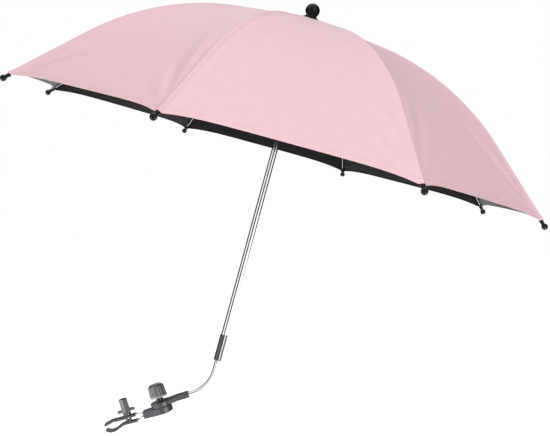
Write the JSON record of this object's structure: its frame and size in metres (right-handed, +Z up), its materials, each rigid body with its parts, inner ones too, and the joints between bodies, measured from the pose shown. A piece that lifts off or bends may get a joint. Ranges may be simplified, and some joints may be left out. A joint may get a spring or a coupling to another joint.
{
  "type": "pram parasol",
  "caption": "Clip-on pram parasol: folding cloth canopy on hinged ribs and stretchers, leaning pole, bent rod, swivel with a fluted knob, and a screw clamp for a pram's tube.",
  "frame": {"origin": "centre of the pram tube that the clamp grips", "axes": "+Y along the gripped tube, +Z up as pictured, +X towards the pole and canopy"},
  "size_m": [0.6808, 0.7056, 0.5885],
  "materials": {
    "canopy_cloth": "pink plain-weave cloth with a black coating inside",
    "plated_steel": "bright plated wire and strip",
    "chrome": "polished chrome plate",
    "black_plastic": "glossy moulded",
    "grey_plastic": "semi-gloss moulded",
    "pale_grey_plastic": "semi-gloss moulded"
  },
  "bodies": {
    "clamp": {"clamp_arm": "grey_plastic", "swivel_nut": "chrome", "lower_jaw_strip": "chrome", "lower_jaw": "grey_plastic", "lower_jaw_rivet": "chrome", "screw_bush": "black_plastic"},
    "upper_jaw": {"upper_jaw_strip": "chrome", "upper_jaw": "grey_plastic", "upper_jaw_rivet": "chrome"},
    "jaw_collar": {"jaw_collar": "grey_plastic"},
    "wing_knob": {"wing_knob": "grey_plastic", "clamp_screw": "chrome"},
    "swivel_collar": {"swivel_collar": "black_plastic"},
    "swivel_knob": {"swivel_knob": "grey_plastic", "knob_ring": "pale_grey_plastic", "swivel_bolt": "chrome"},
    "mast": {"socket_arm": "grey_plastic", "bent_rod": "chrome", "pole_sleeve": "grey_plastic", "pole": "chrome", "top_notch": "black_plastic", "notch_wire": "plated_steel", "finial": "black_plastic"},
    "runner": {"runner": "black_plastic", "runner_wire": "plated_steel"},
    "catch": {"catch_spring": "plated_steel"},
    "rib_1": {"rib_1": "plated_steel", "rib_tip_1": "black_plastic", "canopy_1": "canopy_cloth"},
    "stretcher_1": {"stretcher_1": "plated_steel"},
    "rib_2": {"rib_2": "plated_steel", "rib_tip_2": "black_plastic", "canopy_2": "canopy_cloth"},
    "stretcher_2": {"stretcher_2": "plated_steel"},
    "rib_3": {"rib_3": "plated_steel", "rib_tip_3": "black_plastic", "canopy_3": "canopy_cloth"},
    "stretcher_3": {"stretcher_3": "plated_steel"},
    "rib_4": {"rib_4": "plated_steel", "rib_tip_4": "black_plastic", "canopy_4": "canopy_cloth"},
    "stretcher_4": {"stretcher_4": "plated_steel"},
    "rib_5": {"rib_5": "plated_steel", "rib_tip_5": "black_plastic", "canopy_5": "canopy_cloth"},
    "stretcher_5": {"stretcher_5": "plated_steel"},
    "rib_6": {"rib_6": "plated_steel", "rib_tip_6": "black_plastic", "canopy_6": "canopy_cloth"},
    "stretcher_6": {"stretcher_6": "plated_steel"},
    "rib_7": {"rib_7": "plated_steel", "rib_tip_7": "black_plastic", "canopy_7": "canopy_cloth"},
    "stretcher_7": {"stretcher_7": "plated_steel"},
    "rib_8": {"rib_8": "plated_steel", "rib_tip_8": "black_plastic", "canopy_8": "canopy_cloth"},
    "stretcher_8": {"stretcher_8": "plated_steel"}
  },
  "joints": [
    {"name": "wing_knob_turn", "type": "hinge", "parent": "jaw_collar", "child": "wing_knob", "pos_m": [0.01535, 0, 0.01761], "axis": [-0.29, 0, 0.957], "range_deg": [-10, 1643.63]},
    {"name": "jaw_collar_lift", "type": "slide", "parent": "clamp", "child": "jaw_collar", "axis": [-0.29, 0, 0.957], "range_m": [-0.0001, 0.00464]},
    {"name": "jaw_open", "type": "hinge", "parent": "clamp", "child": "upper_jaw", "pos_m": [0.04367, 0, 0.01658], "axis": [0, 1, 0], "range_deg": [0, 8]},
    {"name": "arm_swivel", "type": "hinge", "parent": "clamp", "child": "mast", "pos_m": [0.06421, 0, 0.02604], "axis": [-0.29, 0, 0.957], "range_deg": [-150, 150]},
    {"name": "swivel_collar_lift", "type": "slide", "parent": "clamp", "child": "swivel_collar", "axis": [-0.29, 0, 0.957], "range_m": [-0.0001, 0.0021]},
    {"name": "swivel_knob_turn", "type": "hinge", "parent": "swivel_collar", "child": "swivel_knob", "pos_m": [0.06421, 0, 0.02604], "axis": [-0.29, 0, 0.957], "range_deg": [0, 720]},
    {"name": "runner_slide", "type": "slide", "parent": "mast", "child": "runner", "axis": [-0.2639, 0, -0.9646], "range_m": [0, 0.23943]},
    {"name": "catch_press", "type": "slide", "parent": "mast", "child": "catch", "axis": [0.9646, 0, -0.2639], "range_m": [0, 0.0014], "stiffness_N_per_m": 300},
    {"name": "rib_1_fold", "type": "hinge", "parent": "mast", "child": "rib_1", "pos_m": [0.27678, -0.003, 0.55213], "axis": [0.322, 0.9426, -0.0881], "range_deg": [-0.5, 62.75], "deforming": ["canopy_1"]},
    {"name": "stretcher_1_fold", "type": "hinge", "parent": "rib_1", "child": "stretcher_1", "pos_m": [0.40956, -0.05508, 0.48022], "axis": [0.322, 0.9426, -0.0881], "range_deg": [-125.5, 1]},
    {"name": "rib_2_fold", "type": "hinge", "parent": "mast", "child": "rib_2", "pos_m": [0.27233, -0.00812, 0.55335], "axis": [0.8706, 0.4305, -0.2382], "range_deg": [-0.5, 62.75], "deforming": ["canopy_2"]},
    {"name": "stretcher_2_fold", "type": "hinge", "parent": "rib_2", "child": "stretcher_2", "pos_m": [0.32805, -0.14893, 0.50251], "axis": [0.8706, 0.4305, -0.2382], "range_deg": [-125.5, 1]},
    {"name": "rib_3_fold", "type": "hinge", "parent": "mast", "child": "rib_3", "pos_m": [0.26569, -0.00848, 0.55516], "axis": [0.9092, -0.3338, -0.2487], "range_deg": [-0.5, 62.75], "deforming": ["canopy_3"]},
    {"name": "stretcher_3_fold", "type": "hinge", "parent": "rib_3", "child": "stretcher_3", "pos_m": [0.20641, -0.15554, 0.53579], "axis": [0.9092, -0.3338, -0.2487], "range_deg": [-125.5, 1]},
    {"name": "rib_4_fold", "type": "hinge", "parent": "mast", "child": "rib_4", "pos_m": [0.26076, -0.00387, 0.55651], "axis": [0.4153, -0.9026, -0.1136], "range_deg": [-0.5, 62.75], "deforming": ["canopy_4"]},
    {"name": "stretcher_4_fold", "type": "hinge", "parent": "rib_4", "child": "stretcher_4", "pos_m": [0.11589, -0.07103, 0.56056], "axis": [0.4153, -0.9026, -0.1136], "range_deg": [-125.5, 1]},
    {"name": "rib_5_fold", "type": "hinge", "parent": "mast", "child": "rib_5", "pos_m": [0.26041, 0.003, 0.55661], "axis": [-0.322, -0.9426, 0.0881], "range_deg": [-0.5, 62.75], "deforming": ["canopy_5"]},
    {"name": "stretcher_5_fold", "type": "hinge", "parent": "rib_5", "child": "stretcher_5", "pos_m": [0.10951, 0.05508, 0.5623], "axis": [-0.322, -0.9426, 0.0881], "range_deg": [-125.5, 1]},
    {"name": "rib_6_fold", "type": "hinge", "parent": "mast", "child": "rib_6", "pos_m": [0.26486, 0.00812, 0.55539], "axis": [-0.8706, -0.4305, 0.2382], "range_deg": [-0.5, 62.75], "deforming": ["canopy_6"]},
    {"name": "stretcher_6_fold", "type": "hinge", "parent": "rib_6", "child": "stretcher_6", "pos_m": [0.19102, 0.14893, 0.54], "axis": [-0.8706, -0.4305, 0.2382], "range_deg": [-125.5, 1]},
    {"name": "rib_7_fold", "type": "hinge", "parent": "mast", "child": "rib_7", "pos_m": [0.27149, 0.00848, 0.55358], "axis": [-0.9092, 0.3338, 0.2487], "range_deg": [-0.5, 62.75], "deforming": ["canopy_7"]},
    {"name": "stretcher_7_fold", "type": "hinge", "parent": "rib_7", "child": "stretcher_7", "pos_m": [0.31266, 0.15554, 0.50672], "axis": [-0.9092, 0.3338, 0.2487], "range_deg": [-125.5, 1]},
    {"name": "rib_8_fold", "type": "hinge", "parent": "mast", "child": "rib_8", "pos_m": [0.27643, 0.00387, 0.55223], "axis": [-0.4153, 0.9026, 0.1136], "range_deg": [-0.5, 62.75], "deforming": ["canopy_8"]},
    {"name": "stretcher_8_fold", "type": "hinge", "parent": "rib_8", "child": "stretcher_8", "pos_m": [0.40318, 0.07103, 0.48196], "axis": [-0.4153, 0.9026, 0.1136], "range_deg": [-125.5, 1]}
  ],
  "couplings": [
    {"joint": "jaw_collar_lift", "follows": "jaw_open", "m_per_rad": 0.0325},
    {"joint": "wing_knob_turn", "follows": "jaw_open", "ratio": 204.2},
    {"joint": "swivel_collar_lift", "follows": "swivel_knob_turn", "m_per_rad": 0.00015915},
    {"joint": "rib_1_fold", "follows": "runner_slide", "rad_per_m": 4.5378},
    {"joint": "stretcher_1_fold", "follows": "runner_slide", "rad_per_m": -9.0755},
    {"joint": "rib_2_fold", "follows": "runner_slide", "rad_per_m": 4.5378},
    {"joint": "stretcher_2_fold", "follows": "runner_slide", "rad_per_m": -9.0755},
    {"joint": "rib_3_fold", "follows": "runner_slide", "rad_per_m": 4.5378},
    {"joint": "stretcher_3_fold", "follows": "runner_slide", "rad_per_m": -9.0755},
    {"joint": "rib_4_fold", "follows": "runner_slide", "rad_per_m": 4.5378},
    {"joint": "stretcher_4_fold", "follows": "runner_slide", "rad_per_m": -9.0755},
    {"joint": "rib_5_fold", "follows": "runner_slide", "rad_per_m": 4.5378},
    {"joint": "stretcher_5_fold", "follows": "runner_slide", "rad_per_m": -9.0755},
    {"joint": "rib_6_fold", "follows": "runner_slide", "rad_per_m": 4.5378},
    {"joint": "stretcher_6_fold", "follows": "runner_slide", "rad_per_m": -9.0755},
    {"joint": "rib_7_fold", "follows": "runner_slide", "rad_per_m": 4.5378},
    {"joint": "stretcher_7_fold", "follows": "runner_slide", "rad_per_m": -9.0755},
    {"joint": "rib_8_fold", "follows": "runner_slide", "rad_per_m": 4.5378},
    {"joint": "stretcher_8_fold", "follows": "runner_slide", "rad_per_m": -9.0755}
  ]
}
